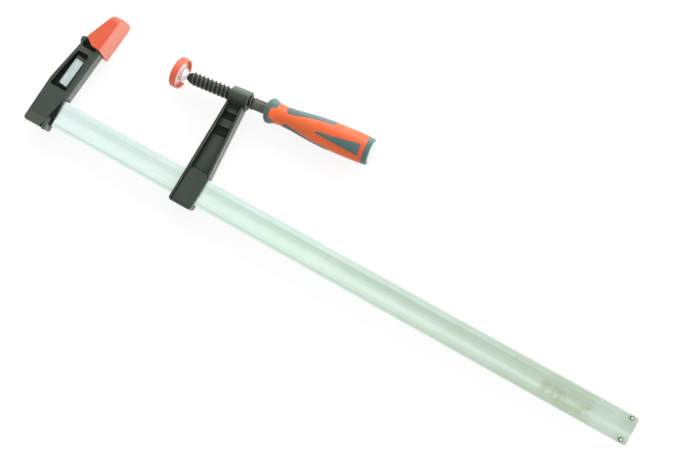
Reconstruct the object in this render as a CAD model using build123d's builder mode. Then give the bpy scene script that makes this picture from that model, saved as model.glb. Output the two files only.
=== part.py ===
"""Woodworking F-clamp: flat steel rail, cast fixed jaw, cast sliding jaw and a tilted screw.

Sizes are in millimetres. +X runs along the rail to its free end, +Y from the rail to the screw,
+Z through the thickness of the flat castings. The origin is the middle of the fixed clamping face.
"""

from build123d import *
from math import ceil, cos, isclose, radians, sin, sqrt, tan
import os

# Rail
rail_length = 687.0
rail_width = 30.0
rail_thickness = 8.0
rail_edge_radius = 0.7
rail_corner_radius = 2.5
rail_hollow_width = 17.0
rail_hollow_depth = 0.6
stop_pin_radius = 2.2
stop_pin_stand = 1.1
stop_pin_edge_distance = 3.6
stop_pin_end_distance = 6.5

# Working geometry
throat_depth = 81.0
face_lean = 7.0
jaw_opening = 149.9
boss_height = 104.75
screw_tilt = 5.3

# Both castings
arm_thickness = 14.2
web_thickness = 5.5
cheek_sink = 0.7
cast_edge_radius = 0.8
foot_edge_radius = 3.5
foot_depth = 6.6
pocket_corner_radius = 2.0
pocket_draft = 4.0
slide_clearance = 0.4
overrun = 1.0

# Fixed jaw, measured from its back line and from the rail's centre line
fixed_arm_width = 29.7
fixed_foot_back = 2.6
fixed_bend_height = 30.0
fixed_bend_shift = 1.7
fixed_top_shift = 12.6
fixed_rail_inset = 1.2
fixed_cheek_width = 28.5
fixed_cheek_fall = 0.37
fixed_front_bevel = 1.9
fixed_face_low_width = 18.3
fixed_lug_radius = 2.4
fixed_lug_length = 10.0
fixed_lug_drop = 0.9
fixed_lug_place = 22.6
fixed_back_flange = 3.4
fixed_front_flange = 5.5
fixed_head_flange = 8.0
fixed_pocket_low = 24.0
nub_width = 6.2
nub_height = 7.7
nub_top_rise = 2.4
nub_radius = 1.4
nub_rise = 1.0
nub_lap = 2.0
notch_depth = 1.2
notch_width = 5.5
fixed_block_gap = 1.2
fixed_block_low = 7.9
fixed_block_drop = 0.7
badge_seat = 5.5
badge_seat_margin = 1.1
badge_seat_above = 4.8
badge_seat_reach = 5.0
badge_width = 9.5
badge_length = 31.0
badge_thickness = 1.2
badge_corner_radius = 1.0
badge_bevel = 0.3
badge_shift = 3.5
badge_height = 44.3

# Cap on the head of the fixed jaw, measured up the clamping face and behind it
cap_half_width = 15.0
cap_wall = 2.0
cap_clearance = 0.1
cap_above = 22.8
cap_top_radius = 8.0
cap_side_taper = 10.5
cap_tip_depth = 10.2
cap_back_depth = 22.5
cap_back_below = 13.0
cap_knee_depth = 10.6
cap_knee_below = 19.2
cap_front_below = 20.8
cap_mouth_skew = 0.16
head_recess = 1.5
cap_edge_radius = 0.8

# Sliding jaw, measured from the middle of its boss and from the rail's centre line
boss_radius = 10.3
boss_front_reach = 8.4
boss_rear_reach = 11.8
slide_foot_back = 12.6
slide_foot_front = 15.2
slide_top_back = 8.1
slide_top_front = 10.5
slide_flange = 2.7
slide_foot_taper = 1.2
slide_pocket_low = 19.0
slide_shelf_low = 86.0
slide_rib_low = 70.0
slide_rib_width = 8.0
slide_rib_sink = 2.0
slide_panel_high = 59.5
slide_panel_rise = 1.0
slide_rim = 2.0

# Screw spindle
thread_pitch = 4.75
thread_crest_radius = 6.9
thread_root_radius = 5.4
thread_crest_width = 1.2
thread_root_width = 2.7
thread_clearance = 0.35
thread_root_sink = 0.3
thread_lead_length = 8.0
thread_lead_radius = 3.9
thread_past_boss = 5.0
shank_radius = 6.2
shank_shoulder = 1.0
shank_showing = 20.2
ball_to_boss = 65.5
ball_to_thread = 6.3
tang_radius = 4.8
tang_length = 78.0
shank_in_handle = 8.0

# Swivel bush on the spindle's tip
ball_radius = 5.0
ball_flat = 3.4
bush_neck_radius = 3.2
pin_radius = 2.2
pin_head_radius = 2.9
pin_head_thickness = 1.0
pin_head_depth = 0.2
running_clearance = 0.08
swivel_clearance = 0.12

# Pressure pad, measured from the middle of the ball
plate_radius = 14.4
plate_thickness = 2.5
plate_skin = 0.9
hub_radius = 7.2
hub_rise = 2.8
hub_foot_radius = 0.6
hub_rim_bevel = 0.9
hub_mark_radius = 1.0
hub_mark_depth = 0.6
pad_cap_wall = 2.0
pad_cap_face = 1.5
pad_cap_height = 7.4
pad_cap_lip = 0.5
pad_cap_lip_width = 0.7
pad_cap_bevel = 0.8
pad_slot_width = 13.5

# Handle, measured along the screw from the front of its collar
collar_length = 12.0
collar_front_radius = 10.0
collar_radius = 13.4
collar_peak = 5.5
collar_front_wall = 2.0
collar_start_angle = 68.0
collar_end_angle = 14.0
grip_length = 110.8
grip_shoulder_radius = 11.0
grip_neck_radius = 10.5
grip_neck_place = 18.1
grip_mid_radius = 13.1
grip_mid_place = 48.1
grip_belly_radius = 15.0
grip_belly_place = 84.1
grip_rear_radius = 14.4
end_collar_length = 5.6
end_collar_wall = 3.0
end_collar_taper = 0.4
end_edge_radius = 1.2
end_plug_stand = 0.9
soft_depth = 1.6
soft_stand = 0.3
soft_root = 4.0
grip_turn = -18.0
front_inlay_start = 21.6
front_inlay_end = 74.1
front_inlay_half_width = 9.2
front_inlay_end_half_width = 7.6
front_inlay_nose_radius = 4.5
inlay_corner_radius = 2.5
rear_inlay_start = 58.6
rear_inlay_end = 106.4
rear_inlay_half_width = 6.3
rear_inlay_tip_half_width = 0.9
tongue_start = 6.4
tongue_half_width = 5.8
tongue_flare_start = 10.4
tongue_flare_half_width = 9.8
tongue_corner_radius = 1.8

# Places that follow from the sizes above
working_height = throat_depth + rail_width / 2
rail_half = rail_width / 2
arm_half = arm_thickness / 2
web_half = web_thickness / 2
lean = radians(face_lean)
face_reach = fixed_arm_width + throat_depth * tan(lean) + cap_wall / cos(lean)
tilt = radians(screw_tilt)
screw_dir = Vector(cos(tilt), sin(tilt), 0)
boss_centre = Vector(jaw_opening, boss_height - working_height, 0)
ball_centre = boss_centre - screw_dir * ball_to_boss
boss_length = boss_front_reach + boss_rear_reach
boss_front = ball_to_boss - boss_front_reach
boss_rear = ball_to_boss + boss_rear_reach
thread_end = boss_rear + thread_past_boss
handle_front = boss_rear + shank_showing

# Working planes and axes

# The screw with its handle, and the pad, are each drawn round a ball at the origin, along X
screw_place = Location(Plane(origin=ball_centre, x_dir=screw_dir, z_dir=(0, 0, 1)))
pad_place = Location(ball_centre)
grip_plane = Plane(origin=(handle_front, 0, 0))
fixed_plane = Plane(origin=(-face_reach, -working_height, 0))
slide_plane = Plane(origin=(jaw_opening, -working_height, 0))
face_in = Vector(-cos(lean), sin(lean), 0)
face_up = Vector(sin(lean), cos(lean), 0)
face_plane = Plane(origin=(0, 0, 0), x_dir=(0, 0, 1), z_dir=face_in)
head_plane = Plane(origin=(0, 0, 0), x_dir=face_up, z_dir=(0, 0, 1))

os.makedirs("parts", exist_ok=True)


def finish(piece, name, place=Location()):
    """Move a finished piece to its place, label it and write it under its own name."""
    placed = piece.part.moved(place)
    placed.label = name
    export_step(placed, f"parts/{name}.step")


# Rail, with a shallow hollow down each broad face
rail_start = -face_reach + fixed_rail_inset
rail_end = rail_start + rail_length
hollow_radius = (rail_hollow_width**2 / 4 + rail_hollow_depth**2) / (2 * rail_hollow_depth)
hollow_centre = rail_thickness / 2 - rail_hollow_depth + hollow_radius
stop_pin_x = rail_end - stop_pin_end_distance
stop_pin_spread = rail_width - 2 * stop_pin_edge_distance
stop_pin_plane = Plane(origin=(stop_pin_x, -working_height, 0))
rail_section = Plane(origin=(rail_start, -working_height, 0), x_dir=(0, 1, 0), z_dir=(1, 0, 0))

with BuildPart() as rail:
    with BuildSketch(rail_section):
        RectangleRounded(rail_width, rail_thickness, rail_edge_radius)
        with Locations((0, hollow_centre), (0, -hollow_centre)):
            Circle(hollow_radius, mode=Mode.SUBTRACT)
    extrude(amount=rail_length)
    with BuildSketch(Plane(origin=(rail_start, -working_height, 0))) as rail_plan:
        Rectangle(rail_length, rail_width, align=(Align.MIN, Align.CENTER))
        fillet(rail_plan.vertices().group_by(Axis.X)[-1], rail_corner_radius)
    extrude(amount=rail_thickness, both=True, mode=Mode.INTERSECT)
    with BuildSketch(stop_pin_plane):
        with GridLocations(0, stop_pin_spread, 1, 2):
            Circle(stop_pin_radius)
    extrude(amount=rail_thickness, both=True, mode=Mode.SUBTRACT)
finish(rail, "rail")

with BuildPart() as rail_stop_pins:
    with BuildSketch(stop_pin_plane):
        with GridLocations(0, stop_pin_spread, 1, 2):
            Circle(stop_pin_radius)
    extrude(amount=rail_thickness / 2 + stop_pin_stand, both=True)
    pin_rims = rail_stop_pins.edges().filter_by(GeomType.CIRCLE)
    fillet(pin_rims, stop_pin_stand / 2)
finish(rail_stop_pins, "rail_stop_pins")


# Fixed jaw
def fixed_front(height):
    """How far the arm's clamping side stands from the back line, at a height above the rail."""
    return fixed_arm_width + (height - rail_half) * tan(lean)


def fixed_back(height):
    """Where the arm's back lies above its bend, from the back line."""
    rise = (fixed_top_shift - fixed_bend_shift) / (nub_low - fixed_bend_height)
    return fixed_bend_shift + (height - fixed_bend_height) * rise


def face_wedge(high, low, fall):
    """Wedge that cuts the arm's face away beyond a line, falling toward the clamping side."""
    line = Vector(*low) - Vector(*high)
    with BuildPart() as wedge:
        with BuildSketch(
            Plane(
                origin=fixed_plane.origin + Vector(*high, arm_half),
                x_dir=(-line.Y, line.X, 0),
                z_dir=line,
            )
        ):
            with BuildLine():
                Polyline(
                    (0, 0),
                    (fixed_arm_width, -fixed_arm_width * fall),
                    (fixed_arm_width, arm_half),
                    (0, arm_half),
                    close=True,
                )
            make_face()
        extrude(amount=line.length)
    return wedge.part


def head_form(inset, reach_down):
    """Wedge with a rounded top behind the clamping face, its walls drawn in by an inset."""
    with BuildPart() as form:
        with BuildSketch(face_plane.offset(inset)) as outline:
            with Locations((0, cap_above - inset)):
                Rectangle(
                    2 * (cap_half_width - inset),
                    cap_above + 2 * reach_down,
                    align=(Align.CENTER, Align.MAX),
                )
            fillet(outline.vertices().group_by(Axis.Y)[-1], cap_top_radius - inset)
        extrude(amount=cap_back_depth + cap_wall, taper=cap_side_taper)
        with BuildSketch(head_plane):
            with BuildLine():
                Polyline(
                    (-reach_down - inset, 0),
                    (cap_above + cap_wall, 0),
                    (cap_above + cap_wall, cap_tip_depth - cap_wall * back_slope),
                    (-cap_back_below, cap_back_depth),
                    (-reach_down - inset, cap_back_depth),
                    close=True,
                )
            make_face()
            offset(amount=-inset, kind=Kind.INTERSECTION)
        extrude(amount=cap_half_width, both=True, mode=Mode.INTERSECT)
    return form.part


def below_mouth(rise):
    """Room under the cap's mouth line, raised by a margin."""
    with BuildPart() as room:
        with BuildSketch(head_plane):
            with BuildLine():
                Polyline(
                    (rise - cap_back_below + 5 * mouth_slope, cap_back_depth + 5),
                    (rise - cap_knee_below, cap_knee_depth),
                    (rise - cap_deep, 0),
                    (rise - cap_deep, -1),
                    (-3 * cap_deep, -1),
                    (-3 * cap_deep, cap_back_depth + 5),
                    close=True,
                )
            make_face()
        extrude(amount=2 * cap_half_width, both=True)
        with BuildSketch(face_plane.offset(-1)):
            side = 2 * cap_half_width
            with BuildLine():
                Polyline(
                    (side, rise - cap_front_below + side * cap_mouth_skew),
                    (-side, rise - cap_front_below - side * cap_mouth_skew),
                    (-side, -3 * cap_deep),
                    (side, -3 * cap_deep),
                    close=True,
                )
            make_face()
        extrude(amount=cap_back_depth)
    return room.part


back_slope = (cap_back_depth - cap_tip_depth) / (cap_above + cap_back_below)
mouth_slope = (cap_knee_below - cap_back_below) / (cap_back_depth - cap_knee_depth)
cap_deep = cap_front_below + 3 * cap_wall
face_up_axis = Axis((0, 0, 0), face_up)
head_low = working_height - cap_front_below
nub_low = head_low + nub_rise
nub_top = nub_low + nub_height
notch_level = nub_top - notch_depth
foot_low = -(rail_half + foot_depth)
face_end = (fixed_front(rail_half + 1) - fixed_front_bevel, rail_half + 1)
face_low = (fixed_face_low_width, foot_low)
lug_middle = foot_low - fixed_lug_drop + fixed_lug_radius + fixed_lug_length / 2
nub_right = fixed_back(nub_low) + nub_width - nub_lap
head_start = nub_right + notch_width
slot_top = nub_low - fixed_block_low
block_top = nub_low - fixed_block_gap

with BuildPart() as jaw_head:
    add(head_form(cap_wall + cap_clearance, cap_deep))
    add(below_mouth(head_recess), mode=Mode.SUBTRACT)

badge_plane = Plane(
    origin=(
        (fixed_back(badge_height) + fixed_front(badge_height) - fixed_front_flange) / 2
        + badge_shift
        - face_reach,
        badge_height - working_height,
        badge_seat,
    ),
    x_dir=(cos(lean), -sin(lean), 0),
    z_dir=(0, 0, 1),
)
with BuildPart() as foot_lug:
    with BuildSketch(fixed_plane):
        with Locations((fixed_lug_place, lug_middle)):
            SlotCenterToCenter(fixed_lug_length, 2 * fixed_lug_radius, rotation=90)
    extrude(amount=arm_half)
    fillet(foot_lug.faces().sort_by(Axis.Z)[-1].edges(), cast_edge_radius)

with BuildPart() as fixed_jaw:
    with BuildSketch(fixed_plane) as fixed_outline:
        with BuildLine():
            Polyline(
                (-fixed_foot_back, foot_low),
                (fixed_lug_place, foot_low),
                (fixed_lug_place, -rail_half),
                (fixed_cheek_width, -rail_half),
                (fixed_cheek_width, rail_half),
                (fixed_front(rail_half + 1), rail_half + 1),
                (fixed_front(nub_top), nub_top),
                (head_start, nub_top),
                (head_start, notch_level),
                (nub_right, notch_level),
                (nub_right, nub_top + nub_top_rise),
                (nub_right - nub_width, nub_top),
                (nub_right - nub_width, nub_top - nub_height / 2),
                (fixed_back(nub_low), nub_low),
                (fixed_bend_shift, fixed_bend_height),
                close=True,
            )
        make_face()
        fillet(fixed_outline.vertices().sort_by(Axis.X)[0], foot_edge_radius)
        for corner in ((nub_right, nub_top + nub_top_rise), (nub_right - nub_width, nub_top)):
            fillet(fixed_outline.vertices().sort_by_distance(corner)[0], nub_radius)
    extrude(amount=arm_half)
    fillet(fixed_jaw.faces().sort_by(Axis.Z)[-1].edges(), cast_edge_radius)
    add(face_wedge((fixed_front(nub_top) - fixed_front_bevel, nub_top), face_end, 1), mode=Mode.SUBTRACT)
    add(face_wedge(face_end, face_low, fixed_cheek_fall), mode=Mode.SUBTRACT)
    add(foot_lug.part)
    with BuildSketch(fixed_plane.offset(web_half)) as pockets:
        with BuildLine():
            Polyline(
                (fixed_back(fixed_pocket_low) + fixed_back_flange, fixed_pocket_low),
                (fixed_front(fixed_pocket_low) - fixed_front_flange, fixed_pocket_low),
                (fixed_front(slot_top) - fixed_head_flange, slot_top),
                (fixed_back(slot_top) + fixed_back_flange, slot_top),
                close=True,
            )
        make_face()
        with BuildLine():
            Polyline(
                (nub_right - 2 * overrun, block_top),
                (fixed_front(block_top) - fixed_front_flange, block_top - fixed_block_drop),
                (fixed_front(nub_top) - fixed_front_flange, nub_top - overrun),
                (nub_right - 2 * overrun, nub_top - overrun),
                close=True,
            )
        make_face()
        fillet(pockets.vertices(), pocket_corner_radius)
    extrude(amount=arm_half, taper=-pocket_draft, mode=Mode.SUBTRACT)
    with BuildSketch(badge_plane):
        with Locations((-badge_width / 2, -badge_length / 2)):
            with Locations((-badge_seat_margin, -badge_seat_margin)):
                Rectangle(
                    badge_width + badge_seat_reach,
                    badge_length + badge_seat_above,
                    align=(Align.MIN, Align.MIN),
                )
    extrude(amount=web_half - badge_seat)
    mirror(about=Plane.XY)
    add(jaw_head.part)
    with BuildSketch(rail_section):
        Rectangle(rail_width, rail_thickness)
    extrude(amount=2 * face_reach, both=True, mode=Mode.SUBTRACT)
finish(fixed_jaw, "fixed_jaw")

with BuildPart() as badge_plate:
    with BuildSketch(badge_plane):
        RectangleRounded(badge_width, badge_length, badge_corner_radius)
    extrude(amount=badge_thickness)
    chamfer(badge_plate.faces().sort_by(Axis.Z)[-1].edges(), badge_bevel)
finish(badge_plate, "badge_plate")

with BuildPart() as fixed_jaw_cap:
    add(head_form(0, cap_deep))
    add(head_form(cap_wall, cap_deep), mode=Mode.SUBTRACT)
    add(below_mouth(0), mode=Mode.SUBTRACT)
    clamping_face = fixed_jaw_cap.faces().sort_by(Axis((0, 0, 0), face_in))[0]
    fillet(clamping_face.edges().sort_by(face_up_axis)[1:], cap_edge_radius)
finish(fixed_jaw_cap, "fixed_jaw_cap")


# Sliding jaw
def slide_back(height):
    """Where the sliding arm's back lies, from the middle of the boss."""
    rise = (slide_foot_back - slide_top_back) / (boss_height + rail_half)
    return -slide_foot_back + (height + rail_half) * rise


def slide_front(height):
    """Where the sliding arm's handle side lies, from the middle of the boss."""
    rise = (slide_foot_front - slide_top_front) / (boss_height - rail_half)
    return slide_foot_front - (height - rail_half) * rise


def arm_window(low, high, back, front):
    """Four corners of a window between the sliding arm's two flanges."""
    return (
        (slide_back(low) + back, low),
        (slide_front(low) - front, low),
        (slide_front(high) - front, high),
        (slide_back(high) + back, high),
    )


def rib_window(low, high):
    """Four corners of a rib between the flanges, square to the arm's top like the boss."""
    return [
        (place, height + place * tan(tilt))
        for place, height in arm_window(low, high, overrun, overrun)
    ]


def screw_ridge(start, turns, spread):
    """Helical ridge of the screw thread, its section widened all round by a spread."""
    centre = Vector(start, 0, 0)
    with BuildPart() as ridge:
        with BuildLine() as path:
            Helix(
                thread_pitch,
                turns * thread_pitch,
                thread_root_radius,
                center=centre,
                direction=(1, 0, 0),
            )
        outward = (path.line @ 0 - centre).normalized()
        with BuildSketch(Plane(origin=path.line @ 0, x_dir=outward, z_dir=path.line % 0)):
            root_half = thread_root_width / 2 + spread
            crest_half = thread_crest_width / 2 + spread
            depth = thread_crest_radius - thread_root_radius + spread
            with BuildLine():
                Polyline(
                    (-thread_root_sink, -root_half),
                    (0, -root_half),
                    (depth, -crest_half),
                    (depth, crest_half),
                    (0, root_half),
                    (-thread_root_sink, root_half),
                    close=True,
                )
            make_face()
        sweep(is_frenet=True)
    return ridge.part


thread_start = ball_to_thread - thread_pitch / 2
thread_turns = ceil((thread_end - thread_start) / thread_pitch) + 1
turns_to_boss = int((boss_front - thread_start) / thread_pitch) - 1
boss_turns = ceil(boss_length / thread_pitch) + 3
pocket_high = boss_height - boss_radius / 2

with BuildPart() as boss_thread:
    with BuildSketch(Plane(origin=(boss_front, 0, 0), z_dir=(1, 0, 0))):
        Circle(thread_root_radius + thread_clearance)
    extrude(amount=2 * boss_length, both=True)
    add(screw_ridge(thread_start + turns_to_boss * thread_pitch, boss_turns, thread_clearance))

with BuildPart() as sliding_jaw:
    with BuildSketch(slide_plane) as slide_outline:
        with BuildLine():
            Polyline(
                (slide_back(-rail_half), foot_low),
                (slide_foot_front - slide_foot_taper, foot_low),
                (slide_foot_front - slide_foot_taper, -rail_half),
                (slide_foot_front, rail_half),
                (slide_front(boss_height), boss_height),
                (slide_back(boss_height), boss_height),
                close=True,
            )
        make_face()
        fillet(slide_outline.vertices().group_by(Axis.Y)[0], foot_edge_radius)
    extrude(amount=arm_half)
    front_rim = sliding_jaw.faces().sort_by(Axis.Z)[-1].edges()
    fillet(front_rim, cast_edge_radius)
    with BuildSketch(slide_plane.offset(arm_half - cheek_sink)):
        with BuildLine():
            Polyline(
                (slide_back(foot_low) + slide_flange, foot_low + slide_rim),
                (slide_foot_front + overrun, foot_low + slide_rim),
                (slide_foot_front + overrun, rail_half),
                (slide_front(slide_pocket_low) - slide_flange, slide_pocket_low + overrun),
                (slide_back(slide_pocket_low) + slide_flange, slide_pocket_low + overrun),
                close=True,
            )
        make_face()
    extrude(amount=arm_half, mode=Mode.SUBTRACT)
    with BuildSketch(slide_plane.offset(web_half)) as pocket:
        with BuildLine():
            Polyline(
                *arm_window(slide_pocket_low, pocket_high, slide_flange, slide_flange),
                close=True,
            )
        make_face()
        fillet(pocket.vertices(), pocket_corner_radius)
    extrude(amount=arm_half, taper=-pocket_draft, mode=Mode.SUBTRACT)
    with BuildSketch(slide_plane.offset(web_half)):
        with BuildLine():
            Polyline(*rib_window(slide_shelf_low, pocket_high + overrun), close=True)
        make_face()
        with BuildLine():
            Polyline(*rib_window(slide_rib_low, slide_rib_low + slide_rib_width), close=True)
        make_face()
    extrude(amount=arm_half - web_half - slide_rib_sink)
    with BuildSketch(slide_plane.offset(web_half)):
        with BuildLine():
            Polyline(*rib_window(slide_pocket_low - 2 * overrun, slide_panel_high), close=True)
        make_face()
    extrude(amount=slide_panel_rise)
    mirror(about=Plane.XY)
    with BuildSketch(Plane(origin=ball_centre + screw_dir * boss_front, z_dir=screw_dir)):
        Circle(boss_radius)
    extrude(amount=boss_length)
    boss_rims = sliding_jaw.edges().filter_by(GeomType.CIRCLE).filter_by(
        lambda edge: isclose(edge.radius, boss_radius)
    )
    fillet(boss_rims, cast_edge_radius)
    with BuildSketch(slide_plane):
        Rectangle(4 * slide_foot_front, rail_width + 2 * slide_clearance)
    slot_half = rail_thickness / 2 + slide_clearance
    extrude(amount=slot_half, both=True, mode=Mode.SUBTRACT)
    add(boss_thread.part.moved(screw_place), mode=Mode.SUBTRACT)
finish(sliding_jaw, "sliding_jaw")

# Spindle, with a plain pin at its tip and a plain tang inside the handle
pin_end = -ball_flat + pin_head_depth
pin_head_back = pin_end + pin_head_thickness
tang_start = handle_front + shank_in_handle
tang_end = handle_front + tang_length
with BuildPart() as spindle_thread:
    add(screw_ridge(thread_start, thread_turns, 0))
    with BuildSketch():
        with BuildLine():
            Polyline(
                (ball_to_thread, 0),
                (ball_to_thread, thread_lead_radius),
                (ball_to_thread + thread_lead_length, thread_crest_radius + overrun),
                (thread_end, thread_crest_radius + overrun),
                (thread_end, 0),
                close=True,
            )
        make_face()
    revolve(axis=Axis.X, mode=Mode.INTERSECT)

with BuildPart() as spindle:
    with BuildSketch():
        with BuildLine():
            Polyline(
                (pin_end, 0),
                (pin_end, pin_head_radius),
                (pin_head_back, pin_head_radius),
                (pin_head_back, pin_radius),
                (ball_to_thread, pin_radius),
                (ball_to_thread, thread_lead_radius),
                (ball_to_thread + thread_lead_length / 2, thread_root_radius),
                (thread_end - shank_shoulder, thread_root_radius),
                (thread_end, shank_radius),
                (tang_start, shank_radius),
                (tang_start, tang_radius),
                (tang_end, tang_radius),
                (tang_end, 0),
                close=True,
            )
        make_face()
    revolve(axis=Axis.X)
    add(spindle_thread.part)
finish(spindle, "spindle", screw_place)

# Swivel bush: a sleeve round the pin that ends in a ball
with BuildPart() as swivel_bush:
    bore = pin_radius + running_clearance
    seat = pin_head_back + running_clearance
    with BuildSketch():
        with BuildLine():
            arc_end = sqrt(ball_radius**2 - bush_neck_radius**2)
            flat_rim = sqrt(ball_radius**2 - ball_flat**2)
            tip = (0, ball_radius)
            ThreePointArc((-ball_flat, flat_rim), tip, (arc_end, bush_neck_radius))
            Polyline(
                (arc_end, bush_neck_radius),
                (ball_to_thread - running_clearance, bush_neck_radius),
                (ball_to_thread - running_clearance, bore),
                (seat, bore),
                (seat, pin_head_radius + running_clearance),
                (-ball_flat, pin_head_radius + running_clearance),
                (-ball_flat, flat_rim),
            )
        make_face()
    revolve(axis=Axis.X)
finish(swivel_bush, "swivel_bush", screw_place)

# Pressure plate, whose hub is closed round the ball
socket_radius = ball_radius + swivel_clearance
plate_front = -(socket_radius + plate_skin)
plate_back = plate_front + plate_thickness
with BuildPart() as pressure_plate:
    with BuildSketch():
        with BuildLine():
            Polyline(
                (plate_front, 0),
                (plate_front, plate_radius),
                (plate_back, plate_radius),
                (plate_back, hub_radius + hub_foot_radius),
                (plate_back + hub_foot_radius, hub_radius),
                (hub_rise - hub_rim_bevel, hub_radius),
                (hub_rise, hub_radius - hub_rim_bevel),
                (hub_rise, 0),
                close=True,
            )
        make_face()
    revolve(axis=Axis.X)
    Sphere(socket_radius, mode=Mode.SUBTRACT)
    with BuildSketch(Plane(origin=(plate_back, 0, 0), z_dir=(1, 0, 0))):
        with PolarLocations((hub_radius + plate_radius) / 2, 3, start_angle=30):
            Circle(hub_mark_radius)
    extrude(amount=-hub_mark_depth, mode=Mode.SUBTRACT)
finish(pressure_plate, "pressure_plate", pad_place)

# Soft cap over the pressure plate, slotted on one side
pad_front = plate_front - pad_cap_face
pad_cap_inner = plate_radius + cap_clearance
lip_back = plate_back + cap_clearance + pad_cap_lip_width
with BuildPart() as pressure_plate_cap:
    with BuildSketch():
        with BuildLine():
            Polyline(
                (pad_front, 0),
                (pad_front, pad_cap_inner + pad_cap_wall - pad_cap_bevel),
                (pad_front + pad_cap_bevel, pad_cap_inner + pad_cap_wall),
                (pad_front + pad_cap_height, pad_cap_inner + pad_cap_wall),
                (pad_front + pad_cap_height, pad_cap_inner),
                (lip_back + pad_cap_lip, pad_cap_inner),
                (lip_back, pad_cap_inner - pad_cap_lip),
                (plate_back + cap_clearance, pad_cap_inner - pad_cap_lip),
                (plate_back + cap_clearance, pad_cap_inner),
                (plate_front, pad_cap_inner),
                (plate_front, 0),
                close=True,
            )
        make_face()
    revolve(axis=Axis.X)
    with BuildSketch(Plane(origin=(plate_front, 0, 0), x_dir=(0, 0, -1), z_dir=(1, 0, 0))):
        Rectangle(
            pad_cap_inner + 2 * pad_cap_wall,
            pad_slot_width,
            align=(Align.MIN, Align.CENTER),
        )
    extrude(amount=pad_cap_height, mode=Mode.SUBTRACT)
finish(pressure_plate_cap, "pressure_plate_cap", pad_place)


# Handle
def grip_form(grow):
    """Lathe form of the grip between its two collars, grown by a skin."""
    with BuildPart() as form:
        with BuildSketch(grip_plane):
            with BuildLine():
                Spline(
                    (collar_length, grip_shoulder_radius + grow),
                    (grip_neck_place, grip_neck_radius + grow),
                    (grip_mid_place, grip_mid_radius + grow),
                    (grip_belly_place, grip_belly_radius + grow),
                    (grip_length, grip_rear_radius + grow),
                )
                Polyline(
                    (grip_length, grip_rear_radius + grow),
                    (grip_length, 0),
                    (collar_length, 0),
                    (collar_length, grip_shoulder_radius + grow),
                )
            make_face()
        revolve(axis=Axis.X)
    return form.part


def grip_side(angle):
    """Plane beside the screw axis that faces outward at an angle from the top."""
    turn = radians(angle)
    outward = Vector(0, sin(turn), cos(turn))
    return Plane(origin=grip_plane.origin, x_dir=(1, 0, 0), z_dir=outward).offset(soft_root)


soft_reach = grip_belly_radius
collar_core_radius = grip_neck_radius - soft_depth
collar_start = radians(collar_start_angle)
collar_end = radians(collar_end_angle)
with BuildPart() as front_windows:
    for angle in (grip_turn + 90, grip_turn - 90):
        with BuildSketch(grip_side(angle)) as window:
            with BuildLine():
                Polyline(
                    (front_inlay_start, -front_inlay_half_width),
                    (front_inlay_end, -front_inlay_end_half_width),
                    (front_inlay_end, front_inlay_end_half_width),
                    (front_inlay_start, front_inlay_half_width),
                    close=True,
                )
            make_face()
            fillet(window.vertices().group_by(Axis.X)[0], front_inlay_nose_radius)
            fillet(window.vertices().group_by(Axis.X)[-1], inlay_corner_radius)
        extrude(amount=soft_reach)

with BuildPart() as rear_windows:
    for angle in (grip_turn, grip_turn + 180):
        with BuildSketch(grip_side(angle)) as window:
            with BuildLine():
                Polyline(
                    (rear_inlay_start, -rear_inlay_tip_half_width),
                    (rear_inlay_end, -rear_inlay_half_width),
                    (rear_inlay_end, rear_inlay_half_width),
                    (rear_inlay_start, rear_inlay_tip_half_width),
                    close=True,
                )
            make_face()
            fillet(window.vertices(), rear_inlay_tip_half_width)
        extrude(amount=soft_reach)

with BuildPart() as collar_notches:
    for angle in (grip_turn, grip_turn + 180):
        with BuildSketch(grip_side(angle)) as window:
            with BuildLine():
                Polyline(
                    (tongue_start, -tongue_half_width),
                    (tongue_flare_start, -tongue_half_width),
                    (collar_length + overrun, -tongue_flare_half_width),
                    (collar_length + overrun, tongue_flare_half_width),
                    (tongue_flare_start, tongue_half_width),
                    (tongue_start, tongue_half_width),
                    close=True,
                )
            make_face()
            fillet(window.vertices().group_by(Axis.X)[0], tongue_corner_radius)
            fillet(window.vertices().group_by(Axis.X)[-2], tongue_corner_radius)
        extrude(amount=soft_reach)

with BuildPart() as collar:
    with BuildSketch(grip_plane):
        with BuildLine():
            Spline(
                (0, collar_front_radius),
                (collar_peak, collar_radius),
                (collar_length, grip_shoulder_radius),
                tangents=(
                    (cos(collar_start), sin(collar_start), 0),
                    (cos(collar_end), -sin(collar_end), 0),
                ),
            )
            Polyline(
                (collar_length, grip_shoulder_radius),
                (collar_length, collar_core_radius),
                (collar_front_wall, collar_core_radius),
                (collar_front_wall, shank_radius),
                (0, shank_radius),
                (0, collar_front_radius),
            )
        make_face()
    revolve(axis=Axis.X)

with BuildPart() as grip_front_collar:
    add(collar.part)
    add(collar_notches.part, mode=Mode.SUBTRACT)
finish(grip_front_collar, "grip_front_collar", screw_place)

with BuildPart() as collar_tongues:
    add(collar.part)
    add(collar_notches.part, mode=Mode.INTERSECT)

with BuildPart() as soft_beds:
    add(front_windows.part)
    add(rear_windows.part)
    add(grip_form(-soft_depth), mode=Mode.SUBTRACT)

with BuildPart() as handle_core:
    add(grip_form(0))
    add(soft_beds.part, mode=Mode.SUBTRACT)
    with BuildSketch(grip_plane):
        with BuildLine():
            Polyline(
                (collar_front_wall, 0),
                (collar_front_wall, collar_core_radius),
                (collar_length + overrun, collar_core_radius),
                (collar_length + overrun, 0),
                close=True,
            )
        make_face()
    revolve(axis=Axis.X)
    add(collar_tongues.part)
    add(spindle.part, mode=Mode.SUBTRACT)
finish(handle_core, "handle_core", screw_place)

with BuildPart() as grip_front_inlays:
    add(grip_form(soft_stand))
    add(front_windows.part, mode=Mode.INTERSECT)
    add(grip_form(-soft_depth), mode=Mode.SUBTRACT)
finish(grip_front_inlays, "grip_front_inlays", screw_place)

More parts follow.
